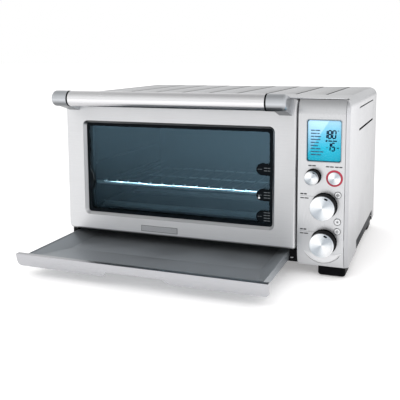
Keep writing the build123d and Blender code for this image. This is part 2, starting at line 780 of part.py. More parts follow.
# ---- tray guides: shelf, web, outward flange and a bright tongue at the front ----
guide_web = 2.6
for name, side in (("left", -1), ("right", 1)):
    edge = door_middle + side * tray_half
    web = sorted((edge + side * guide_web, edge + side * (guide_web + sheet)))
    shelf = sorted((edge - side * 7, edge + side * (guide_web + sheet)))
    flange = sorted((edge + side * guide_web, edge + side * 6.8))
    with BuildPart() as tray_guide:
        block(*web, cover_start + 2, tray_back, ground_gap + 2, 40)
        block(*shelf, cover_start + 2, tray_back, 20, 20 + sheet)
        block(*flange, block_front - 0.8, cover_start + 40, tongue_height, tongue_height + sheet)
    keep(tray_guide.part, f"tray_guide_{name}")

# ---- feet, rubber pads, rear spacers, cord gland and screws ----
foot_names = ("front_left", "rear_left", "front_right", "rear_right")
pad_height = 2

for name, (x, y) in zip(foot_names, foot_places):
    with BuildPart() as foot:
        half = foot_width / 2
        block(x - half, x + half, y - half, y + half, pad_height - 0.5, ground_gap - 0.05)
        fillet(foot.edges().filter_by(Axis.Z), 5)
        fillet(foot.faces().sort_by(Axis.Z)[0].edges(), 4)
        rod(x, y, pad_height - 0.5, 14.1, 1.2, "z", mode=Mode.SUBTRACT)
        rod(x, y, ground_gap, 2.1, 12, "z", mode=Mode.SUBTRACT)
    keep(foot.part, f"foot_{name}")

with BuildPart() as foot_pads:
    for x, y in foot_places:
        rod(x, y, pad_height / 2, 14, pad_height, "z")
    fillet(foot_pads.edges().group_by(Axis.Z)[0], 0.6)
keep(foot_pads.part, "foot_pads")

with BuildPart() as rear_spacers:
    for x in (-150, 150):
        disc(x, 232, 9, case_depth - rear_inset + 0.05, case_depth + spacer_length)
    fillet(rear_spacers.edges().group_by(Axis.Y)[-1], 1.5)
keep(rear_spacers.part, "rear_spacers")

with BuildPart() as cord_gland:
    panel_back = case_depth - rear_inset
    disc(gland_x, gland_z, gland_hole - 0.1, panel_back - 6, panel_back + 3)
    disc(gland_x, gland_z, gland_hole + 3, panel_back + 0.05, panel_back + 3)
    disc(gland_x, gland_z, gland_hole + 2, panel_back - 6, panel_back - sheet - 0.1)
    disc(gland_x, gland_z, 4, panel_back - 10, panel_back + 10, mode=Mode.SUBTRACT)
keep(cord_gland.part, "cord_gland")

with BuildPart() as case_screws:
    for x in (-222, 222):
        for z in (34, 246):
            disc(x, z, 1.7, panel_back - 8, panel_back + 0.1)
            disc(x, z, 3.4, panel_back + 0.05, panel_back + 1.9)
    for x, y in foot_places:
        rod(x, y, ground_gap - 0.5, 1.95, 10, "z")
        rod(x, y, ground_gap + sheet + 1.1, 4, 2, "z")
keep(case_screws.part, "case_screws")
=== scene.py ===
from math import asin, atan2, cos, pi, radians, sin

import bmesh
import bpy
from mathutils import Matrix, Vector


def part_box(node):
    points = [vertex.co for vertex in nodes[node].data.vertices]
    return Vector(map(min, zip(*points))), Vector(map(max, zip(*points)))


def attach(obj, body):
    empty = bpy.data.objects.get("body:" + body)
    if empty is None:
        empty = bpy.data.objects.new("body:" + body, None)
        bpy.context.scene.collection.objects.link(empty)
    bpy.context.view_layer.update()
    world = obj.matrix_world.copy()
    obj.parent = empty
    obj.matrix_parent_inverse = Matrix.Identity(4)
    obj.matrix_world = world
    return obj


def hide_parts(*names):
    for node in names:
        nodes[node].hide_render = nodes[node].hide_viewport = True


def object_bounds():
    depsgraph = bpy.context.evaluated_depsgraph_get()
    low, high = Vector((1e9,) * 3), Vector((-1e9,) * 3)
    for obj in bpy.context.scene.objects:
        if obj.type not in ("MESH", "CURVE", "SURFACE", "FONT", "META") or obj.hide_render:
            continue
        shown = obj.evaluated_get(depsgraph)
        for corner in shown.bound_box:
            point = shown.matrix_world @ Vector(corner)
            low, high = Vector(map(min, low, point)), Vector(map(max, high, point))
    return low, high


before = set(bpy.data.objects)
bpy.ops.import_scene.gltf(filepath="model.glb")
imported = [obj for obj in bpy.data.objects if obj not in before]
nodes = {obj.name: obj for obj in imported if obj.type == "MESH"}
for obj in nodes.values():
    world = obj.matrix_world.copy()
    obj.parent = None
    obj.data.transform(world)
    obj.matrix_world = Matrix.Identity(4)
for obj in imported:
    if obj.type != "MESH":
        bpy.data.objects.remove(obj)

cad_low, cad_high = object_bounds()
scene = bpy.context.scene

# ---- places read from the frame, in metres ----
glass_low, glass_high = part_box("door_glass_outer")
window_low, window_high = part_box("display_window")
rack_low, rack_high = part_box("wire_rack")
fascia_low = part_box("control_fascia")[0]
panel_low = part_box("display_module")[0]
cover_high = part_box("outer_cover")[1]
front_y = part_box("door_frame")[0].y
floor_z = cad_low.z
rail_radius = 0.0024
rail_y, rail_z = rack_low.y + rail_radius, rack_low.z + rail_radius


def centre_of(name):
    low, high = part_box(name)
    return (low + high) / 2


# ---- camera ----
def make_camera():
    data = bpy.data.cameras.new("camera")
    camera = bpy.data.objects.new("camera", data)
    scene.collection.objects.link(camera)
    yaw, pitch, roll = 0.367, 0.1301, -0.0064
    ahead = Vector((-sin(yaw) * cos(pitch), cos(yaw) * cos(pitch), -sin(pitch)))
    level_right = Vector((cos(yaw), sin(yaw), 0))
    level_up = level_right.cross(ahead)
    right = level_right * cos(roll) + level_up * sin(roll)
    up = -level_right * sin(roll) + level_up * cos(roll)
    turn = Matrix((right, up, -ahead)).transposed().to_4x4()
    place = Vector((0.3664, front_y - 0.9384, floor_z + 0.3327))
    camera.matrix_world = Matrix.Translation(place) @ turn
    data.sensor_width = 36
    data.lens = 58.7
    data.shift_y = -0.15
    data.clip_start = 0.05
    scene.camera = camera


# ---- material helpers ----
def new_material(name):
    material = bpy.data.materials.new(name)
    material.use_nodes = True
    tree = material.node_tree
    return material, tree, tree.nodes["Principled BSDF"]


def add_node(tree, kind, **values):
    made = tree.nodes.new(kind)
    for key, value in values.items():
        if key in made.inputs:
            made.inputs[key].default_value = value
        else:
            setattr(made, key, value)
    return made


def noise(tree, stretch, scale, detail=3.0, rough=0.6):
    """Noise in object space, stretched so that it runs in streaks."""
    place = add_node(tree, "ShaderNodeTexCoord")
    shape = add_node(tree, "ShaderNodeMapping")
    shape.inputs["Scale"].default_value = stretch
    tree.links.new(place.outputs["Object"], shape.inputs["Vector"])
    made = add_node(tree, "ShaderNodeTexNoise", Scale=scale, Detail=detail, Roughness=rough)
    tree.links.new(shape.outputs["Vector"], made.inputs["Vector"])
    return made.outputs["Fac"]


def as_colour(value):
    return (value, value, value, 1) if isinstance(value, (int, float)) else (*value, 1)


def ramp(tree, source, *stops):
    """Maps a value through (position, colour or grey) stops."""
    made = add_node(tree, "ShaderNodeValToRGB")
    elements = made.color_ramp.elements
    while len(elements) < len(stops):
        elements.new(0.5)
    for element, (position, value) in zip(elements, stops):
        element.position = position
        element.color = as_colour(value)
    tree.links.new(source, made.inputs["Fac"])
    return made.outputs["Color"]


def calculate(tree, operation, first, second):
    made = add_node(tree, "ShaderNodeMath", operation=operation)
    for socket, value in zip(made.inputs, (first, second)):
        if isinstance(value, (int, float)):
            socket.default_value = value
        else:
            tree.links.new(value, socket)
    return made.outputs[0]


def bump(tree, shader, source, strength, distance):
    made = add_node(tree, "ShaderNodeBump", Strength=strength, Distance=distance)
    tree.links.new(source, made.inputs["Height"])
    tree.links.new(made.outputs["Normal"], shader.inputs["Normal"])


# ---- materials ----
def brushed(name, colour, stretch, roughness=(0.24, 0.34), depth=0.1, anisotropy=0.0, tangent=None):
    """Brushed sheet metal: fine streaks along the unstretched axes, and faint handling marks."""
    material, tree, shader = new_material(name)
    shader.inputs["Metallic"].default_value = 1.0
    streaks = noise(tree, stretch, 45.0, detail=5.0, rough=0.7)
    smudges = noise(tree, (1, 1, 1), 11.0, detail=3.0)
    dark = tuple(c * 0.9 for c in colour)
    tree.links.new(ramp(tree, streaks, (0.3, dark), (0.7, colour)), shader.inputs["Base Color"])
    grain = ramp(tree, streaks, (0.3, roughness[0]), (0.7, roughness[1]))
    marks = ramp(tree, smudges, (0.45, 0.0), (0.75, 0.06))
    tree.links.new(calculate(tree, "ADD", grain, marks), shader.inputs["Roughness"])
    bump(tree, shader, streaks, depth, 0.0001)
    if anisotropy:
        shader.inputs["Anisotropic"].default_value = anisotropy
        around = add_node(tree, "ShaderNodeTangent", direction_type="RADIAL", axis=tangent)
        tree.links.new(around.outputs[0], shader.inputs["Tangent"])
    return material


def paint_shade_below(material, factor):
    """Paints shade into the colour of the faces of a material that look down."""
    tree = material.node_tree
    shader = tree.nodes["Principled BSDF"]
    plain = shader.inputs["Base Color"].links[0].from_socket
    place = add_node(tree, "ShaderNodeTexCoord")
    facing = add_node(tree, "ShaderNodeSeparateXYZ")
    tree.links.new(place.outputs["Normal"], facing.inputs[0])
    level = calculate(tree, "ADD", calculate(tree, "MULTIPLY", facing.outputs[2], 0.5), 0.5)
    mix = add_node(tree, "ShaderNodeMixRGB", blend_type="MULTIPLY")
    mix.inputs[0].default_value = 1.0
    tree.links.new(plain, mix.inputs[1])
    tree.links.new(ramp(tree, level, (0.20, factor), (0.42, 1.0)), mix.inputs[2])
    tree.links.new(mix.outputs[0], shader.inputs["Base Color"])
    return material


def spun(name, colour):
    """Metal turned on a lathe about Y: rings, and painted bright and dull wedges of reflection that meet at
    the centre.
    """
    material, tree, shader = new_material(name)
    shader.inputs["Metallic"].default_value = 1.0
    shader.inputs["Anisotropic"].default_value = 0.6
    around = add_node(tree, "ShaderNodeTangent", direction_type="RADIAL", axis="Y")
    tree.links.new(around.outputs[0], shader.inputs["Tangent"])
    place = add_node(tree, "ShaderNodeTexCoord")
    split = add_node(tree, "ShaderNodeSeparateXYZ")
    tree.links.new(place.outputs["Object"], split.inputs[0])
    x, z = split.outputs[0], split.outputs[2]
    # Painted reflection: bright and dull wedges in the base colour, two of each around the centre.
    angle = calculate(tree, "ARCTAN2", z, x)
    sheen_wedges = calculate(tree, "SINE", calculate(tree, "ADD", calculate(tree, "MULTIPLY", angle, 2.0), 2.97), 0)
    half = calculate(tree, "ADD", calculate(tree, "MULTIPLY", sheen_wedges, 0.5), 0.5)
    shaded_tone = tuple(c * f for c, f in zip(colour, (0.50, 0.54, 0.58)))
    middle = tuple(c * f for c, f in zip(colour, (0.80, 0.83, 0.85)))
    tree.links.new(ramp(tree, half, (0.02, shaded_tone), (0.45, middle), (0.9, colour)), shader.inputs["Base Color"])
    square = calculate(tree, "ADD", calculate(tree, "MULTIPLY", x, x), calculate(tree, "MULTIPLY", z, z))
    radius = calculate(tree, "SQRT", square, 0)
    rings = calculate(tree, "SINE", calculate(tree, "MULTIPLY", radius, 2 * pi / 0.0006), 0)
    tree.links.new(ramp(tree, rings, (0.0, 0.24), (1.0, 0.32)), shader.inputs["Roughness"])
    bump(tree, shader, rings, 0.08, 0.0001)
    return material


def ribbed_steel(name, colour, first, pitch, groove_start):
    """Brushed sheet with painted light and shade: its upright faces darker towards the back and lighter
    towards the top, and its top pressed into strips with painted shade that darkens each to the right.
    """
    material = brushed(name, colour, (1, 60, 1))
    tree = material.node_tree
    shader = tree.nodes["Principled BSDF"]
    plain = shader.inputs["Base Color"].links[0].from_socket
    place = add_node(tree, "ShaderNodeTexCoord")
    split = add_node(tree, "ShaderNodeSeparateXYZ")
    tree.links.new(place.outputs["Object"], split.inputs[0])
    facing = add_node(tree, "ShaderNodeSeparateXYZ")
    tree.links.new(place.outputs["Normal"], facing.inputs[0])
    strip = calculate(tree, "DIVIDE", calculate(tree, "SUBTRACT", split.outputs[0], first), pitch)
    along = calculate(tree, "FRACT", calculate(tree, "ADD", strip, 20.0), 0)
    # Painted shade: each strip of the top darkens towards the groove on its right.
    strip_shade = ramp(tree, along, (0.04, 1.0), (0.55, 0.84), (0.90, 0.62), (0.99, 0.35))
    behind = calculate(tree, "MULTIPLY", calculate(tree, "SUBTRACT", split.outputs[1], groove_start), 50.0)
    flat_top = ramp(tree, facing.outputs[2], (0.96, 0.0), (0.99, 1.0))
    pressed = calculate(tree, "MULTIPLY", flat_top, ramp(tree, behind, (0.0, 0.0), (1.0, 1.0)))
    depth = calculate(tree, "ADD", calculate(tree, "MULTIPLY", behind, 0.04), 0.2)
    # Painted light and shade on the upright faces: darker towards the back and lighter towards the top.
    upright = ramp(tree, facing.outputs[2], (0.3, 1.0), (0.7, 0.0))
    back_shade = ramp(tree, depth, (0.0, 1.0), (0.7, 0.62))
    height = calculate(tree, "MULTIPLY", split.outputs[2], 3.6)
    height_light = ramp(tree, height, (0.1, 0.80), (0.95, 1.22))
    for factor, shade in ((pressed, strip_shade), (upright, back_shade), (upright, height_light)):
        mix = add_node(tree, "ShaderNodeMixRGB", blend_type="MULTIPLY")
        tree.links.new(factor, mix.inputs[0])
        tree.links.new(plain, mix.inputs[1])
        tree.links.new(shade, mix.inputs[2])
        plain = mix.outputs[0]
    tree.links.new(plain, shader.inputs["Base Color"])
    return material


def coated(name, colour, roughness, speckle=0.15, scale=900.0, metallic=0.0, coat=0.0, depth=0.15, gloss=0.5):
    """Paint, plastic, enamel or plating: fine texture, and colour and gloss that vary a little."""
    material, tree, shader = new_material(name)
    shader.inputs["Metallic"].default_value = metallic
    shader.inputs["Specular IOR Level"].default_value = gloss
    if coat:
        shader.inputs["Coat Weight"].default_value = coat
        shader.inputs["Coat Roughness"].default_value = 0.1
    fine = noise(tree, (1, 1, 1), scale, detail=2.0)
    clouds = noise(tree, (1, 1, 1), 14.0, detail=3.0)
    dark = tuple(c * (1 - speckle) for c in colour)
    tree.links.new(ramp(tree, clouds, (0.3, dark), (0.7, colour)), shader.inputs["Base Color"])
    rough = ramp(tree, clouds, (0.35, roughness * 0.85), (0.65, min(1.0, roughness * 1.15)))
    tree.links.new(rough, shader.inputs["Roughness"])
    bump(tree, shader, fine, depth, 0.0002)
    return material


def glass(name, tint, sheen=(1, 1, 1), index=1.45, roughness=0.02, painted_reflection=False):
    """Thin pane: clear straight through, tinted, with a mirror that grows towards grazing angles."""
    material, tree, shader = new_material(name)
    shader.inputs["Base Color"].default_value = (*tint, 1)
    shader.inputs["Roughness"].default_value = roughness
    smears = noise(tree, (1, 1, 1), 18.0, detail=2.0)
    see = add_node(tree, "ShaderNodeBsdfTransparent")
    dark = tuple(c * 0.97 for c in tint)
    tree.links.new(ramp(tree, smears, (0.35, dark), (0.7, tint)), see.inputs["Color"])
    mirror = add_node(tree, "ShaderNodeBsdfGlossy", Roughness=roughness, Color=(*sheen, 1))
    if painted_reflection:
        # Painted reflection: the mirror's colour runs from dull at the lower left to bright at the upper
        # right of the pane.
        place = add_node(tree, "ShaderNodeTexCoord")
        split = add_node(tree, "ShaderNodeSeparateXYZ")
        tree.links.new(place.outputs["Generated"], split.inputs[0])
        across = calculate(tree, "MULTIPLY", split.outputs[0], 0.45)
        corner = calculate(tree, "ADD", across, calculate(tree, "MULTIPLY", split.outputs[2], 0.55))
        low, high = (tuple(c * f for c in sheen) for f in (0.06, 1.15))
        tree.links.new(ramp(tree, corner, (0.05, low), (0.9, high)), mirror.inputs["Color"])
    edge = add_node(tree, "ShaderNodeFresnel", IOR=index)
    mix = add_node(tree, "ShaderNodeMixShader")
    tree.links.new(edge.outputs[0], mix.inputs[0])
    tree.links.new(see.outputs[0], mix.inputs[1])
    tree.links.new(mirror.outputs[0], mix.inputs[2])
    tree.links.new(mix.outputs[0], tree.nodes["Material Output"].inputs["Surface"])
    return material


def backlit_panel(name):
    """Display sheet: pale at the top, deeper cyan below, with a lighter slanted band at its upper left that
    is a painted glare.
    """
    material, tree, shader = new_material(name)
    place = add_node(tree, "ShaderNodeTexCoord")
    split = add_node(tree, "ShaderNodeSeparateXYZ")
    tree.links.new(place.outputs["Generated"], split.inputs[0])
    across, up = split.outputs[0], split.outputs[2]
    deep = ramp(
        tree, up, (0.04, (0.012, 0.28, 0.37)), (0.35, (0.025, 0.36, 0.47)), (0.62, (0.12, 0.42, 0.55)),
        (0.97, (0.34, 0.54, 0.66)))
    glare_tones = ramp(
        tree, up, (0.04, (0.015, 0.29, 0.39)), (0.40, (0.13, 0.38, 0.50)), (0.97, (0.48, 0.68, 0.82)))
    # Painted glare: above a slanted line at the upper left the sheet takes the paler tones.
    glare_line = calculate(tree, "SUBTRACT", calculate(tree, "MULTIPLY", up, 0.75), across)
    side = ramp(tree, glare_line, (0.07, 0.0), (0.10, 1.0))
    mix = add_node(tree, "ShaderNodeMixRGB")
    tree.links.new(side, mix.inputs[0])
    tree.links.new(deep, mix.inputs[1])
    tree.links.new(glare_tones, mix.inputs[2])
    tree.links.new(mix.outputs[0], shader.inputs["Base Color"])
    tree.links.new(mix.outputs[0], shader.inputs["Emission Color"])
    shader.inputs["Emission Strength"].default_value = 0.60
    shader.inputs["Specular IOR Level"].default_value = 0.08
    shader.inputs["Roughness"].default_value = 0.4
    return material


def quartz_tube(name):
    """Frosted quartz: half see-through, so that the coil inside shows."""
    material, tree, shader = new_material(name)
    frost = noise(tree, (1, 6, 6), 60.0)
    tree.links.new(ramp(tree, frost, (0.3, 0.62), (0.7, 0.78)), shader.inputs["Base Color"])
    shader.inputs["Roughness"].default_value = 0.22
    shader.inputs["Alpha"].default_value = 0.55
    bump(tree, shader, frost, 0.1, 0.0002)
    return material


def light_ring(name):
    """Red lens with a faint glow of its own."""
    material, tree, shader = new_material(name)
    cloud = noise(tree, (1, 1, 1), 90.0)
    tones = ramp(tree, cloud, (0.3, (0.30, 0.003, 0.02)), (0.7, (0.42, 0.006, 0.04)))
    tree.links.new(tones, shader.inputs["Base Color"])
    shader.inputs["Emission Color"].default_value = (0.85, 0.02, 0.09, 1)
    shader.inputs["Emission Strength"].default_value = 0.06
    shader.inputs["Coat Weight"].default_value = 0.4
    shader.inputs["Roughness"].default_value = 0.3
    return material


along_x, along_y, along_z = (1, 60, 60), (60, 1, 60), (60, 60, 1)
# One stainless steel in two colours: painted lighter for the door front and darker for the cover's sides and
# top, for the light and shade on each.
steel_front_lit = (0.73, 0.737, 0.75)
steel_side_shaded = (0.58, 0.588, 0.608)
groove_pitch = 0.049
groove_last = cover_high.x - 0.0505

finish = {
    "cover_steel": ribbed_steel("cover_steel", steel_side_shaded, groove_last, groove_pitch, front_y + 0.085),
    "fascia_steel": brushed("fascia_steel", (0.61, 0.618, 0.632), along_z),
    # Door steel, handle tube and handle ends get painted shade on faces that look down.
    "door_steel": paint_shade_below(
        brushed("door_steel", steel_front_lit, along_x, (0.42, 0.50), anisotropy=0.7, tangent="X"), 0.28),
    "lip_steel": brushed("lip_steel", (0.50, 0.505, 0.525), along_x),
    "badge_steel": brushed("badge_steel", (0.55, 0.557, 0.57), along_x, (0.35, 0.45)),
    "aluminium": paint_shade_below(brushed("aluminium", (0.80, 0.80, 0.815), along_x, (0.2, 0.27)), 0.72),
    "cast_silver": paint_shade_below(coated("cast_silver", (0.54, 0.56, 0.585), 0.34, 0.05, metallic=1.0), 0.35),
    "black_plastic": coated("black_plastic", (0.003, 0.003, 0.004), 0.5, gloss=0.05),
    "rubber": coated("rubber", (0.03, 0.03, 0.03), 0.85, scale=1400.0, depth=0.3),
    "black_enamel": coated("black_enamel", (0.003, 0.003, 0.004), 0.4, gloss=0.08),
    "dark_paint": coated("dark_paint", (0.014, 0.016, 0.020), 0.5, gloss=0.06),
    "zinc": brushed("zinc", (0.55, 0.56, 0.57), along_y, (0.35, 0.5)),
    "cavity_coating": coated("cavity_coating", (0.020, 0.046, 0.060), 0.42, 0.3, metallic=0.3),
    "fan_steel": brushed("fan_steel", (0.5, 0.52, 0.53), along_z),
    "outer_glass": glass("outer_glass", (0.84, 0.90, 0.93), (0.36, 0.58, 0.74), 1.7, painted_reflection=True),
    "inner_glass": glass("inner_glass", (0.86, 0.93, 0.95), (0.60, 0.75, 0.82), 1.15),
    "display_glass": glass("display_glass", (0.97, 0.985, 1.0), (0.7, 0.9, 1), 1.12),
    "dark_metal": coated("dark_metal", (0.05, 0.05, 0.055), 0.4),
    "quartz": quartz_tube("quartz"),
    "ceramic": coated("ceramic", (0.70, 0.68, 0.63), 0.7),
    "tray_coating": coated("tray_coating", (0.335, 0.362, 0.388), 0.42, 0.10, metallic=0.65),
    "chrome": coated("chrome", (0.50, 0.52, 0.53), 0.22, 0.02, metallic=0.9, depth=0.03),
    "rim_metal": coated("rim_metal", (0.42, 0.45, 0.48), 0.2, 0.05, metallic=1.0, depth=0.03),
    "spun_metal": spun("spun_metal", (0.86, 0.868, 0.88)),
    # Painted light on the time knob's pad: a lighter steel and a near-white bead.
    "pad_painted_light": brushed("pad_painted_light", (0.74, 0.747, 0.76), along_x, (0.30, 0.38)),
    "rim_painted_highlight": coated("rim_painted_highlight", (0.95, 0.955, 0.96), 0.3, 0.02, metallic=0.5, depth=0.03),
    # Flat black: the handle bands, and painted shade in the top's grooves and the side vent slots.
    "flat_black_and_painted_shade": coated("flat_black_and_painted_shade", (0.004, 0.005, 0.006), 0.9, 0.1, gloss=0.0),
    "key_metal": coated("key_metal", (0.72, 0.73, 0.745), 0.3, 0.04, metallic=1.0),
    "red_light": light_ring("red_light"),
    "display_panel": backlit_panel("display_panel"),
    "circuit_board": coated("circuit_board", (0.02, 0.11, 0.05), 0.5, 0.3),
    "screw_steel": coated("screw_steel", (0.42, 0.42, 0.43), 0.32, 0.1, metallic=1.0),
    "print_grey": coated("print_grey", (0.045, 0.047, 0.052), 0.6, 0.1, gloss=0.2),
    "print_black": coated("print_black", (0.003, 0.005, 0.007), 0.4, 0.1, gloss=0.04),
    # Painted shade along the pad's rim and along the door plate's edge.
    "painted_shade_grey": coated("painted_shade_grey", (0.22, 0.225, 0.235), 0.5, 0.1, metallic=0.5),
    "print_pale": coated("print_pale", (0.13, 0.145, 0.155), 0.6, 0.05, gloss=0.1),
    "print_white": coated("print_white", (0.80, 0.82, 0.83), 0.6, 0.05),
    "display_ink": coated("display_ink", (0.002, 0.020, 0.055), 0.5, 0.1, gloss=0.1),
    "display_haze": coated("display_haze", (0.060, 0.120, 0.200), 0.5, 0.1, gloss=0.1),
    # Painted shadow: the dark line just inside the display rim.
    "display_edge_shade": coated("display_edge_shade", (0.020, 0.090, 0.120), 0.4, 0.1, gloss=0.2),
    # Painted light: near-white rail finish, lighter than the rack's chrome.
    "rail_painted_light": coated("rail_painted_light", (0.95, 0.955, 0.96), 0.3, 0.03, metallic=0.1, depth=0.03),
    "coil_wire": coated("coil_wire", (0.30, 0.27, 0.25), 0.4, 0.2, metallic=0.8),
}

dressing = {
    "cover_steel": ["outer_cover"],
    "fascia_steel": ["control_fascia"],
    "door_steel": ["door_frame"],
    "lip_steel": ["tray_lip"],
    "badge_steel": ["door_badge"],
    "aluminium": ["handle_tube"],
    "cast_silver": ["handle_end_left", "handle_end_right"],
    "black_plastic": [
        "handle_rings", "rear_spacers", "foot_front_left", "foot_front_right", "foot_rear_left",
        "foot_rear_right", "cord_gland", "knob_wells", "rotary_encoders", "push_switches"],
    "rubber": ["foot_pads"],
    "black_enamel": ["front_frame", "door_inner_frame"],
    "dark_paint": ["base_plate"],
    "zinc": [
        "rear_panel", "divider_panel", "hinge_bracket_left", "hinge_bracket_right", "hinge_plates",
        "fan_housing", "tray_guide_left", "tray_guide_right"],
    "cavity_coating": ["oven_cavity"],
    "fan_steel": ["fan_cover", "fan_impeller"],
    "outer_glass": ["door_glass_outer"],
    "inner_glass": ["door_glass_inner"],
    "display_glass": ["display_window"],
    "dark_metal": ["door_magnets", "fan_motor"],
    "quartz": [f"heating_element_{number}" for number in range(1, 6)],
    "ceramic": ["element_holders"],
    "tray_coating": ["crumb_tray"],
    "chrome": ["wire_rack"],
    "rim_metal": ["display_rim"],
    "spun_metal": ["start_button"],
    "key_metal": ["convection_key", "frozen_key", "unit_key"],
    "red_light": ["start_light_ring"],
    "display_panel": ["display_module"],
    "circuit_board": ["control_board", "power_board"],
    "screw_steel": ["case_screws", "hinge_pins"],
}
for material_name, node_names in dressing.items():
    for node_name in node_names:
        slots = nodes[node_name].data.materials
        slots.clear()
        slots.append(finish[material_name])


# ---- mesh helpers ----
def add_piece(name, mesh, material, body, place=(0, 0, 0), sharp=30):
    """Turns a bmesh into an object that rides on a body."""
    data = bpy.data.meshes.new(name)
    bmesh.ops.recalc_face_normals(mesh, faces=mesh.faces)
    mesh.to_mesh(data)
    mesh.free()
    data.materials.append(finish[material])
    for face in data.polygons:
        face.use_smooth = True
    data.set_sharp_from_angle(angle=radians(sharp))
    piece = bpy.data.objects.new(name, data)
    piece.location = place
    scene.collection.objects.link(piece)
    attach(piece, body)
    return piece


def lathe(mesh, profile, sides=96, squeeze=None):
    """Revolves (radius, y) points about Y; squeeze(angle) scales the radius, for ribs and flutes."""
    rings = []
    for radius, y in profile:
        ring = []
        for step in range(sides):
            angle = 2 * pi * step / sides
            reach = radius * (squeeze(angle, radius) if squeeze else 1)
            ring.append(mesh.verts.new((reach * cos(angle), y, reach * sin(angle))))
        rings.append(ring)
    for first, second in zip(rings, rings[1:]):
        for step in range(sides):
            after = (step + 1) % sides
            mesh.faces.new((first[step], first[after], second[after], second[step]))
    for ring in (rings[0], rings[-1]):
        mesh.faces.new(ring)


def prism(mesh, outline, y_front, y_back, bevel=0.0):
    """Extrudes an (x, z) outline between two depths, with its front rim bevelled."""
    front = [mesh.verts.new((x, y_front, z)) for x, z in outline]
    back = [mesh.verts.new((x, y_back, z)) for x, z in outline]
    face = mesh.faces.new(front)
    mesh.faces.new(list(reversed(back)))
    count = len(outline)
    for step in range(count):
        after = (step + 1) % count
        mesh.faces.new((front[step], back[step], back[after], front[after]))
    if bevel:
        bmesh.ops.bevel(mesh, geom=list(face.edges), offset=bevel, segments=2, affect="EDGES")


def rounded(x0, x1, z0, z1, radius, steps=6):
    """Outline of a rectangle with round corners."""
    radius = min(radius, (x1 - x0) / 2, (z1 - z0) / 2)
    corners = ((x1 - radius, z1 - radius, 0), (x0 + radius, z1 - radius, 90),
               (x0 + radius, z0 + radius, 180), (x1 - radius, z0 + radius, 270))
    turns = [90 * step / steps for step in range(steps + 1)]
    return [
        (x + radius * cos(radians(start + turn)), z + radius * sin(radians(start + turn)))
        for x, z, start in corners for turn in turns]


def bar(mesh, start, end, width, y_front, y_back):
    """Straight stroke with round ends between two (x, z) points."""
    (x0, z0), (x1, z1) = start, end
    angle = atan2(z1 - z0, x1 - x0)
    half = width / 2
    outline = []
    for x, z, turn in ((x1, z1, -90), (x0, z0, 90)):
        for step in range(7):
            swing = angle + radians(turn + 180 * step / 6)
            outline.append((x + half * cos(swing), z + half * sin(swing)))
    prism(mesh, outline, y_front, y_back)


def ring(mesh, x, z, outer, inner, y_front, y_back, sides=48):
    """Flat washer about the point (x, z)."""
    loops = []
    for radius, y in ((outer, y_front), (inner, y_front), (inner, y_back), (outer, y_back)):
        loops.append([
            mesh.verts.new((x + radius * cos(2 * pi * s / sides), y, z + radius * sin(2 * pi * s / sides)))
            for s in range(sides)])
    for number in range(4):
        first, second = loops[number], loops[(number + 1) % 4]
        for s in range(sides):
            after = (s + 1) % sides
            mesh.faces.new((first[s], first[after], second[after], second[s]))


def frame_between(mesh, outer, inner, y_front, y_back):
    """Flat frame between two outlines with the same number of points."""
    loops = [
        [mesh.verts.new((x, y, z)) for x, z in outline]
        for outline, y in ((outer, y_front), (inner, y_front), (inner, y_back), (outer, y_back))]
    count = len(outer)
    for number in range(4):
        first, second = loops[number], loops[(number + 1) % 4]
        for step in range(count):
            after = (step + 1) % count
            mesh.faces.new((first[step], first[after], second[after], second[step]))


def lay_flat(mesh):
    """Turns pieces drawn in (x, z) with a depth into pieces lying in (x, y) with a height."""
    for vertex in mesh.verts:
        vertex.co = (vertex.co.x, vertex.co.z, vertex.co.y)


def printed_line(mesh, left, z, lengths, height, y_front, y_back, gap=0.0007):
    """A row of dashes that stands for a line of small print."""
    x = left
    for length in lengths:
        prism(mesh, rounded(x, x + length, z - height / 2, z + height / 2, height / 3, 2), y_front, y_back)
        x += length + gap


# ---- knobs: ribbed black skirt, spun face, pointer ----
pointer_turn = radians(22)


def make_knob(name):
    low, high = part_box(name)
    middle = (low + high) / 2
    place = Vector((middle.x, front_y, middle.z))
    radius = (high.x - low.x) / 2 - 0.00025
    proud = front_y - low.y
    face_radius = radius - 0.0003
    tail = high.y - front_y

    ribs, rib_depth, stem_radius = 60, 0.008, 0.00295

    def rib(angle, reach):
        """Cuts shallow ribs into the outside of the skirt only."""
        return 1 - rib_depth * (0.5 + 0.5 * cos(ribs * angle)) if reach > radius * 0.95 else 1

    skirt = bmesh.new()
    lathe(
        skirt,
        [(face_radius * 0.9, -proud + 0.0016), (radius - 0.0006, -proud + 0.0016),
         (radius - 0.0001, -proud + 0.0022), (radius, -proud + 0.0032), (radius, -0.0012),
         (radius - 0.0006, -0.0004), (radius * 0.6, 0.0006), (stem_radius, 0.0018), (stem_radius, tail)],
        sides=ribs * 4,
        squeeze=rib)
    skirt_piece = add_piece(f"{name}_skirt", skirt, "black_plastic", name, place)
    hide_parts(name)

    cap = bmesh.new()
    lathe(
        cap,
        [(0.0004, -proud + 0.0013), (face_radius * 0.35, -proud + 0.0011),
         (face_radius * 0.7, -proud + 0.0007), (face_radius * 0.9, -proud + 0.0003),
         (face_radius - 0.0009, -proud + 0.00005),
         (face_radius - 0.0004, -proud + 0.00015), (face_radius - 0.0001, -proud + 0.0006),
         (face_radius - 0.0001, -proud + 0.0017), (face_radius * 0.88, -proud + 0.0017)],
        sides=128)
    cap_piece = add_piece(f"{name}_face", cap, "spun_metal", name, place, sharp=50)
    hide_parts(name)

    mark = bmesh.new()
    reach = face_radius * 0.82
    half = face_radius * 0.15
    outline = rounded(-half, half, reach - half * 0.5, reach + half * 0.5, half * 0.5)
    prism(mark, outline, -proud + 0.00025, -proud + 0.0014)
    bmesh.ops.rotate(mark, verts=mark.verts, cent=(0, 0, 0), matrix=Matrix.Rotation(pointer_turn, 3, "Y"))
    add_piece(f"{name}_pointer", mark, "print_black", name, place)


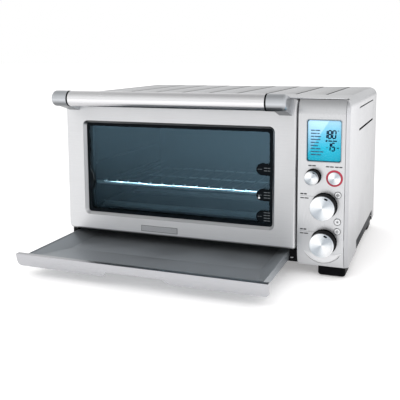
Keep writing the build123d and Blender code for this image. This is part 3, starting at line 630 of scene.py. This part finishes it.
for knob in ("function_knob", "temperature_knob", "time_knob"):
    make_knob(knob)


# ---- start button: shallow dish turned in one piece with its stem ----
def make_start_button():
    low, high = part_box("start_button")
    middle = (low + high) / 2
    radius = (high.x - low.x) / 2
    face = low.y - front_y
    place = Vector((middle.x, front_y, middle.z))
    button = bmesh.new()
    lathe(
        button,
        [(0.0004, face + 0.0009), (radius * 0.5, face + 0.0007), (radius * 0.85, face + 0.0002),
         (radius - 0.0006, face + 0.00005), (radius - 0.0002, face + 0.0003), (radius, face + 0.0008),
         (radius, 0.003), (0.002, 0.003), (0.002, high.y - front_y)],
        sides=96)
    name = "start_button"
    piece = add_piece(f"{name}_face", button, "spun_metal", name, place, sharp=50)
    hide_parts(name)


make_start_button()


# ---- small keys: ring and symbol ----
def make_key_symbol(name, arms, dot):
    low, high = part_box(name)
    middle = (low + high) / 2
    y_front, y_back = low.y - 0.00002, low.y + 0.0002
    reach, stroke = 0.0023, 0.0006
    symbol = bmesh.new()
    ring(symbol, middle.x, middle.z, 0.0049, 0.0043, y_front, y_back)
    for number in range(arms):
        angle = pi * number / arms + pi / 2
        across, up = reach * cos(angle), reach * sin(angle)
        start, end = (middle.x - across, middle.z - up), (middle.x + across, middle.z + up)
        bar(symbol, start, end, stroke, y_front, y_back)
    if dot:
        ring(symbol, middle.x, middle.z, dot, dot - stroke, y_front, y_back, 24)
    add_piece(f"{name}_symbol", symbol, "print_grey", name)


make_key_symbol("convection_key", 2, 0.0022)
make_key_symbol("frozen_key", 3, 0)
make_key_symbol("unit_key", 1, 0.0018)


# ---- printed legends on the control panel ----
def make_panel_print():
    y_front, y_back = front_y - 0.00006, front_y + 0.0001
    legends = bmesh.new()
    function_at, start_at = centre_of("function_knob"), centre_of("start_button")
    top_z = start_at.z + 0.0168
    printed_line(legends, function_at.x - 0.0075, top_z + 0.0006, (0.0050, 0.0054), 0.0017, y_front, y_back)
    printed_line(legends, start_at.x - 0.0128, top_z, (0.0052, 0.0056), 0.0017, y_front, y_back)
    printed_line(legends, start_at.x + 0.0004, top_z, (0.0054, 0.0046), 0.0017, y_front, y_back)
    for knob_name, height_light in (("temperature_knob", 0.0), ("time_knob", 0.0013)):
        at = centre_of(knob_name)
        left, level = fascia_low.x + 0.0045, at.z + height_light
        printed_line(legends, left, level + 0.0160, (0.0046, 0.0044), 0.0021, y_front, y_back)
        printed_line(legends, left, level + 0.0098, (0.0056, 0.0062), 0.0016, y_front, y_back)
        rule = level + 0.0130
        bar(legends, (left, rule), (at.x - 0.0125, rule), 0.0003, y_front, y_back)
    add_piece("panel_legends", legends, "print_grey", "oven")


make_panel_print()


# ---- display: seven-segment figures, rows of small print, and a dark edge painted as the rim's shadow line ----
segments_of = {"0": "abcdef", "1": "bc", "5": "acdfg", "8": "abcdefg"}


def draw_figure(mesh, figure, x, z, width, height, stroke, y_front, y_back):
    """Seven-segment figure whose lower left corner is at (x, z), leaning a little to the right."""
    left, right, low, middle, high = x, x + width, z, z + height / 2, z + height
    gap = stroke * 0.62
    lean = 0.06
    ends = {
        "a": ((left + gap, high), (right - gap, high)), "g": ((left + gap, middle), (right - gap, middle)),
        "d": ((left + gap, low), (right - gap, low)), "f": ((left, middle + gap), (left, high - gap)),
        "b": ((right, middle + gap), (right, high - gap)), "e": ((left, low + gap), (left, middle - gap)),
        "c": ((right, low + gap), (right, middle - gap))}
    for segment in segments_of[figure]:
        start, end = (((px + (pz - z) * lean), pz) for px, pz in ends[segment])
        bar(mesh, start, end, stroke, y_front, y_back)


def make_display_print():
    y_front, y_back = panel_low.y - 0.00045, panel_low.y - 0.00012
    width = window_high.x - window_low.x
    height = window_high.z - window_low.z

    def at(u, v):
        """Place on the window, from its lower left corner (0, 0) to its upper right (1, 1)."""
        return window_low.x + u * width, window_low.z + v * height

    figures = bmesh.new()
    figure_height, figure_width, figure_pitch, stroke = 0.0112, 0.0044, 0.0063, 0.0018
    for text, u, v in (("180", 0.480, 0.565), ("15", 0.580, 0.265)):
        x, z = at(u, v)
        for number, figure in enumerate(text):
            left = x + number * figure_pitch
            draw_figure(figures, figure, left, z, figure_width, figure_height, stroke, y_front, y_back)
    x, z = at(0.905, 0.745)
    ring(figures, x, z, 0.0009, 0.0005, y_front, y_back, 16)
    add_piece("display_figures", figures, "display_ink", "oven")

    rows = bmesh.new()
    lengths = ((0.0060, 0.0068), (0.0086, 0.0034), (0.0052, 0.0088), (0.0140,), (0.0062, 0.0050), (0.0106,),
               (0.0070, 0.0068), (0.0130, 0.0050), (0.0080, 0.0062))
    for number, dashes in enumerate(lengths):
        x, z = at(0.10, 0.745 - number * 0.0735)
        printed_line(rows, x, z, dashes, 0.0015, y_front, y_back)
    add_piece("display_rows", rows, "display_haze", "oven")

    marks = bmesh.new()
    x, z = at(0.565, 0.50)
    printed_line(marks, x + 0.0026, z, (0.0056, 0.0060), 0.0017, y_front, y_back)
    ring(marks, x, z, 0.0015, 0.0002, y_front, y_back, 20)
    x, z = at(0.565, 0.335)
    printed_line(marks, x, z, (0.0018,), 0.0012, y_front, y_back)
    x, z = at(0.865, 0.335)
    printed_line(marks, x, z, (0.0030,), 0.0014, y_front, y_back)
    add_piece("display_marks", marks, "display_ink", "oven")

    # Painted shadow: a dark ring just inside the rim, where the rim shades the window.
    edge_shade = bmesh.new()
    inset = 0.0008
    outer = rounded(window_low.x, window_high.x, window_low.z, window_high.z, 0.0027)
    inner = rounded(
        window_low.x + inset, window_high.x - inset, window_low.z + inset, window_high.z - inset, 0.0034)
    frame_between(edge_shade, outer, inner, y_front - 0.0001, y_back)
    add_piece("display_shadow_line", edge_shade, "display_edge_shade", "oven")


make_display_print()


# ---- crescent of the pad under the time knob, where the fascia bows away from it: a lighter copy of the fascia steel as painted light, a painted highlight along its rim and a painted shadow line outside ----
def make_pad_crescent():
    knob_at = centre_of("time_knob")
    x, z = knob_at.x - 0.0016, knob_at.z - 0.0004
    reach, ends, hollow = 0.0307, 0.0150, 0.0190
    half_chord = (reach ** 2 - ends ** 2) ** 0.5
    inner_reach = (half_chord ** 2 + (hollow - ends) ** 2) / (2 * (hollow - ends))
    low_end = asin(ends / reach)
    inner_swing = asin(half_chord / inner_reach)
    steps = 40
    rim = []
    for step in range(steps + 1):
        angle = -low_end - (pi - 2 * low_end) * step / steps
        rim.append((x + reach * cos(angle), z + reach * sin(angle)))
    inner = []
    for step in range(1, steps):
        angle = -pi / 2 + inner_swing * (2 * step / steps - 1)
        inner.append((x + inner_reach * cos(angle), z - hollow + inner_reach * (1 + sin(angle))))
    # Painted light: the crescent is a lighter steel than the fascia around it.
    crescent = bmesh.new()
    prism(crescent, rim + inner, front_y - 0.0005, front_y + 0.0005, bevel=0.0002)
    add_piece("time_dial_pad", crescent, "pad_painted_light", "oven")
    # Painted highlight: a near-white bead along the crescent's rim.
    rim_highlight = bmesh.new()
    for start, end in zip(rim, rim[1:]):
        bar(rim_highlight, start, end, 0.0009, front_y - 0.0008, front_y - 0.0004)
    add_piece("time_dial_painted_highlight", rim_highlight, "rim_painted_highlight", "oven")
    # Painted shadow: a dark line just outside the rim.
    shade = bmesh.new()
    growth = 1.027
    grown = [(x + (px - x) * growth, z + (pz - z) * growth) for px, pz in rim[3:-3]]
    for start, end in zip(grown, grown[1:]):
        bar(shade, start, end, 0.0007, front_y - 0.00005, front_y + 0.0003)
    add_piece("time_dial_painted_shadow", shade, "painted_shade_grey", "oven")


make_pad_crescent()


# ---- painted shade: dark strips laid in the pressed grooves of the top ----
def make_groove_shade():
    groove_shade = bmesh.new()
    half_width, grooves = 0.0015, 8
    start, end = front_y + 0.0935, front_y + 0.3365
    for number in range(grooves):
        x = groove_last - number * groove_pitch
        outline = rounded(x - half_width, x + half_width, start, end, half_width)
        prism(groove_shade, outline, cover_high.z - 0.00075, cover_high.z - 0.00008)
    lay_flat(groove_shade)
    add_piece("top_groove_painted_shade", groove_shade, "flat_black_and_painted_shade", "oven")


make_groove_shade()


# ---- black bands between the handle tube and its ends ----
def make_handle_bands():
    tube_low, tube_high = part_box("handle_tube")
    middle = (tube_low + tube_high) / 2
    radius = (tube_high.z - tube_low.z) / 2 + 0.00012
    for side, name, tube_end in ((-1, "left", tube_low.x), (1, "right", tube_high.x)):
        band = bmesh.new()
        lathe(
            band,
            [(0.006, -0.0012), (radius - 0.0003, -0.0012), (radius, -0.0009), (radius, 0.0018),
             (radius - 0.0003, 0.0021), (0.006, 0.0021)],
            sides=64)
        turn = Matrix.Rotation(-side * pi / 2, 3, "Z")
        bmesh.ops.rotate(band, verts=band.verts, cent=(0, 0, 0), matrix=turn)
        bmesh.ops.translate(band, verts=band.verts, vec=(tube_end, middle.y, middle.z))
        add_piece(f"handle_band_{name}", band, "flat_black_and_painted_shade", "door")


make_handle_bands()


# ---- dark line around the blank plate on the door, painted shade along its pressed edge ----
def make_plate_edge_shade():
    low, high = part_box("door_badge")
    outline = bmesh.new()
    outer, inner = (
        rounded(low.x + m, high.x - m, low.z + m, high.z - m, r)
        for m, r in ((0.0004, 0.0009), (0.0011, 0.0006)))
    frame_between(outline, outer, inner, low.y - 0.00004, low.y + 0.0001)
    add_piece("door_plate_edge_shade", outline, "painted_shade_grey", "door")


make_plate_edge_shade()


# ---- black border and shelf marks printed on the door glass ----
def make_glass_print():
    y_back = glass_low.y - 0.00001
    y_mark = y_back - 0.00005
    border = bmesh.new()
    outer, inner = (
        rounded(glass_low.x + m, glass_high.x - m, glass_low.z + m, glass_high.z - m, r)
        for m, r in ((0.0045, 0.0070), (0.0122, 0.0045)))
    frame_between(border, outer, inner, y_mark, y_back)
    add_piece("glass_border", border, "print_black", "door")

    edge = glass_high.x - 0.0116
    y_line = y_mark - 0.00004
    tabs, lines = bmesh.new(), bmesh.new()
    tab_length, half, row_pitch = 0.0215, 0.0093, 0.0042
    left = edge - tab_length
    round_x = left + half
    for height_light, rows in ((0.0955, 2), (0.0557, 3), (0.0222, 4)):
        z = glass_low.z + height_light
        outline = [(edge, z - half), (edge, z + half), (round_x, z + half)]
        outline += [
            (round_x + half * cos(radians(a)), z + half * sin(radians(a))) for a in range(100, 270, 10)]
        outline += [(round_x, z - half)]
        prism(tabs, outline, y_mark, y_back)
        for row in range(rows):
            level = z + ((rows - 1) / 2 - row) * row_pitch
            printed_line(lines, edge - 0.0095, level, (0.0050, 0.0042), 0.0011, y_line, y_mark)
        printed_line(lines, left + 0.0022, z, (0.0028, 0.0032), 0.0008, y_line, y_mark)
    add_piece("shelf_tabs", tabs, "print_black", "door")
    add_piece("shelf_tab_lines", lines, "print_pale", "door")

    drop = bmesh.new()
    drop_x, drop_z = edge - 0.0170, glass_low.z + 0.0510
    ring(drop, drop_x, drop_z, 0.0016, 0.0001, y_line, y_mark, 24)
    bar(drop, (drop_x, drop_z + 0.0010), (drop_x, drop_z + 0.0035), 0.0007, y_line, y_mark)
    add_piece("shelf_drop", drop, "print_white", "door")

    left_edge = glass_low.x + 0.0122
    reach, half_chord, z = 0.0058, 0.0185, glass_low.z + 0.0605
    radius = (half_chord ** 2 + reach ** 2) / (2 * reach)
    swing = asin(half_chord / radius)
    centre_x = left_edge + reach - radius
    angles = [swing * step / 12 for step in range(-12, 13)]
    arc = [(centre_x + radius * cos(angle), z + radius * sin(angle)) for angle in angles]
    bulge, arc_line = bmesh.new(), bmesh.new()
    prism(bulge, arc, y_mark, y_back)
    add_piece("shelf_bulge", bulge, "print_black", "door")
    for start, end in zip(arc[12:], arc[13:]):
        bar(arc_line, start, end, 0.0006, y_line, y_mark)
    add_piece("shelf_arc", arc_line, "print_pale", "door")


make_glass_print()


# ---- front rail of the rack, with the wire ends that stand on it: painted near-white as a lit copy of the rack's chrome, and lit by its own strip lamp ----
# The rack's own node holds wires and cross bars but no rails, so this is the only rail that shows.
def make_rack_rail():
    middle_x = (rack_low.x + rack_high.x) / 2
    half = (rack_high.x - rack_low.x) / 2 - 0.0012
    wire_pitch, wires_each_side = 0.021, 7
    rail = bmesh.new()
    lathe(
        rail,
        [(0.0006, -half), (0.0018, -half + 0.0004), (0.00248, -half + 0.0014), (0.00252, -half + 0.003),
         (0.00252, half - 0.003), (0.00248, half - 0.0014), (0.0018, half - 0.0004), (0.0006, half)],
        sides=24)
    bmesh.ops.rotate(rail, verts=rail.verts, cent=(0, 0, 0), matrix=Matrix.Rotation(pi / 2, 3, "Z"))
    bmesh.ops.translate(rail, verts=rail.verts, vec=(middle_x, rail_y, rail_z))
    for number in range(-wires_each_side, wires_each_side + 1):
        tip = bmesh.new()
        lathe(
            tip,
            [(0.0004, -0.0022), (0.0012, -0.0019), (0.0015, -0.0011), (0.0015, 0.0030), (0.0013, 0.0036),
             (0.0004, 0.0038)],
            sides=16)
        place = (middle_x + number * wire_pitch, rail_y, rail_z + 0.0032)
        bmesh.ops.translate(tip, verts=tip.verts, vec=place)
        data = bpy.data.meshes.new("tip")
        tip.to_mesh(data)
        tip.free()
        rail.from_mesh(data)
        bpy.data.meshes.remove(data)
    # Painted light: the rail takes a near-white finish unlike the rest of the rack.
    add_piece("rack_front_rail", rail, "rail_painted_light", "rack")


make_rack_rail()


# ---- painted shade in the vent slots of the right wall, and the folded edge behind them in brighter aluminium as a painted highlight ----
def make_side_vents():
    x_front, x_back = cover_high.x - 0.0001, cover_high.x - 0.0009
    start, end = front_y + 0.1015, front_y + 0.2850
    low_gap, high_gap = (floor_z + 0.2126, floor_z + 0.2159), (floor_z + 0.2479, floor_z + 0.2500)
    slot_shade, fold = bmesh.new(), bmesh.new()
    for mesh, y0, y1, z0, z1 in (
            (slot_shade, start, end, *low_gap), (slot_shade, start, end, *high_gap),
            (fold, end, end + 0.0018, low_gap[0], floor_z + 0.2499)):
        prism(mesh, rounded(y0, y1, z0, z1, 0.0006, 3), x_front, x_back)
    for mesh in (slot_shade, fold):
        for vertex in mesh.verts:
            vertex.co = (vertex.co.y, vertex.co.x, vertex.co.z)
    # Painted shade fills the slots, and the fold takes the brighter aluminium as a painted highlight.
    add_piece("side_vent_painted_shade", slot_shade, "flat_black_and_painted_shade", "oven")
    add_piece("side_vent_fold_highlight", fold, "aluminium", "oven")


make_side_vents()


# ---- resistance wire coiled inside each heating tube ----
def make_coil(number):
    low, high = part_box(f"heating_element_{number}")
    middle = (low + high) / 2
    start, end = low.x + 0.014, high.x - 0.014
    turns, per_turn, coil_radius = 96, 10, 0.0026
    data = bpy.data.curves.new(f"coil_{number}", "CURVE")
    data.dimensions = "3D"
    spline = data.splines.new("POLY")
    count = turns * per_turn
    spline.points.add(count)
    for step in range(count + 1):
        angle = 2 * pi * step / per_turn
        x = start + (end - start) * step / count
        y, z = middle.y + coil_radius * cos(angle), middle.z + coil_radius * sin(angle)
        spline.points[step].co = (x, y, z, 1)
    data.bevel_depth = 0.0004
    data.bevel_resolution = 0
    curve = bpy.data.objects.new(f"coil_{number}", data)
    scene.collection.objects.link(curve)
    mesh = bpy.data.meshes.new_from_object(curve)
    bpy.data.objects.remove(curve)
    mesh.materials.append(finish["coil_wire"])
    for face in mesh.polygons:
        face.use_smooth = True
    piece = bpy.data.objects.new(f"heating_coil_{number}", mesh)
    scene.collection.objects.link(piece)
    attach(piece, "oven")


for element in range(1, 6):
    make_coil(element)


# ---- floor, world and lights ----
def make_stage():
    ground = bmesh.new()
    bmesh.ops.create_grid(ground, x_segments=2, y_segments=2, size=20)
    data = bpy.data.meshes.new("floor")
    ground.to_mesh(data)
    ground.free()
    floor = bpy.data.objects.new("floor", data)
    floor.location = (0, 0, floor_z)
    scene.collection.objects.link(floor)
    material, tree, shader = new_material("floor_white")
    shader.inputs["Base Color"].default_value = (0.93, 0.925, 0.925, 1)
    shader.inputs["Roughness"].default_value = 0.8
    shader.inputs["Specular IOR Level"].default_value = 0.0
    shader.inputs["Emission Color"].default_value = (1.0, 0.985, 0.985, 1)
    shader.inputs["Emission Strength"].default_value = 0.30
    data.materials.append(material)


def softbox(name, place, target, size, power):
    """Rectangular lamp aimed from one place at another."""
    data = bpy.data.lights.new(name, "AREA")
    data.shape = "RECTANGLE"
    data.size, data.size_y = size
    data.energy = power
    light = bpy.data.objects.new(name, data)
    light.location = place
    light.rotation_euler = (Vector(target) - Vector(place)).to_track_quat("-Z", "Y").to_euler()
    scene.collection.objects.link(light)
    return light


def make_lights():
    world = bpy.data.worlds.new("studio")
    scene.world = world
    world.use_nodes = True
    tree = world.node_tree
    background = tree.nodes["Background"]
    place = add_node(tree, "ShaderNodeTexCoord")
    split = add_node(tree, "ShaderNodeSeparateXYZ")
    tree.links.new(place.outputs["Generated"], split.inputs[0])
    height = calculate(tree, "ADD", calculate(tree, "MULTIPLY", split.outputs[2], 0.5), 0.5)
    sky = ramp(tree, height, (0.0, 0.7), (0.5, 1.0), (0.62, 1.10), (0.74, 0.98), (0.88, 0.74), (1.0, 0.50))
    depth = calculate(tree, "ADD", calculate(tree, "MULTIPLY", split.outputs[1], 0.5), 0.5)
    back = ramp(tree, depth, (0.35, 1.0), (0.9, 0.82))
    shade = add_node(tree, "ShaderNodeMixRGB", blend_type="MULTIPLY")
    shade.inputs[0].default_value = 1.0
    tree.links.new(sky, shade.inputs[1])
    tree.links.new(back, shade.inputs[2])
    seen = add_node(tree, "ShaderNodeLightPath")
    pick = add_node(tree, "ShaderNodeMixRGB")
    tree.links.new(seen.outputs["Is Camera Ray"], pick.inputs[0])
    tree.links.new(shade.outputs[0], pick.inputs[1])
    pick.inputs[2].default_value = (1, 1, 1, 1)
    tree.links.new(pick.outputs[0], background.inputs["Color"])
    sun = bpy.data.lights.new("overhead", "SUN")
    sun.energy = 0.8
    sun.angle = radians(80)
    overhead = bpy.data.objects.new("overhead", sun)
    overhead.rotation_euler = Vector((-0.3, 0.25, -1.6)).to_track_quat("-Z", "Y").to_euler()
    overhead.visible_glossy = False
    scene.collection.objects.link(overhead)
    fill = softbox("front_fill", (-0.3, -1.5, 1.3), (-0.05, 0.0, 0.15), (1.3, 0.7), 7)
    fill.visible_glossy = False
    strip_x, strip_place = -0.055, rail_y - 0.056
    strip = softbox(
        "rack_strip", (strip_x, strip_place, rail_z + 0.0013), (strip_x, rail_y, rail_z + 0.0020),
        (0.285, 0.0006), 0.022)
    strip.data.spread = radians(1)
    strip.visible_camera = False
    strip.visible_glossy = False


make_camera()
make_stage()
make_lights()
scene.view_settings.view_transform = "Standard"
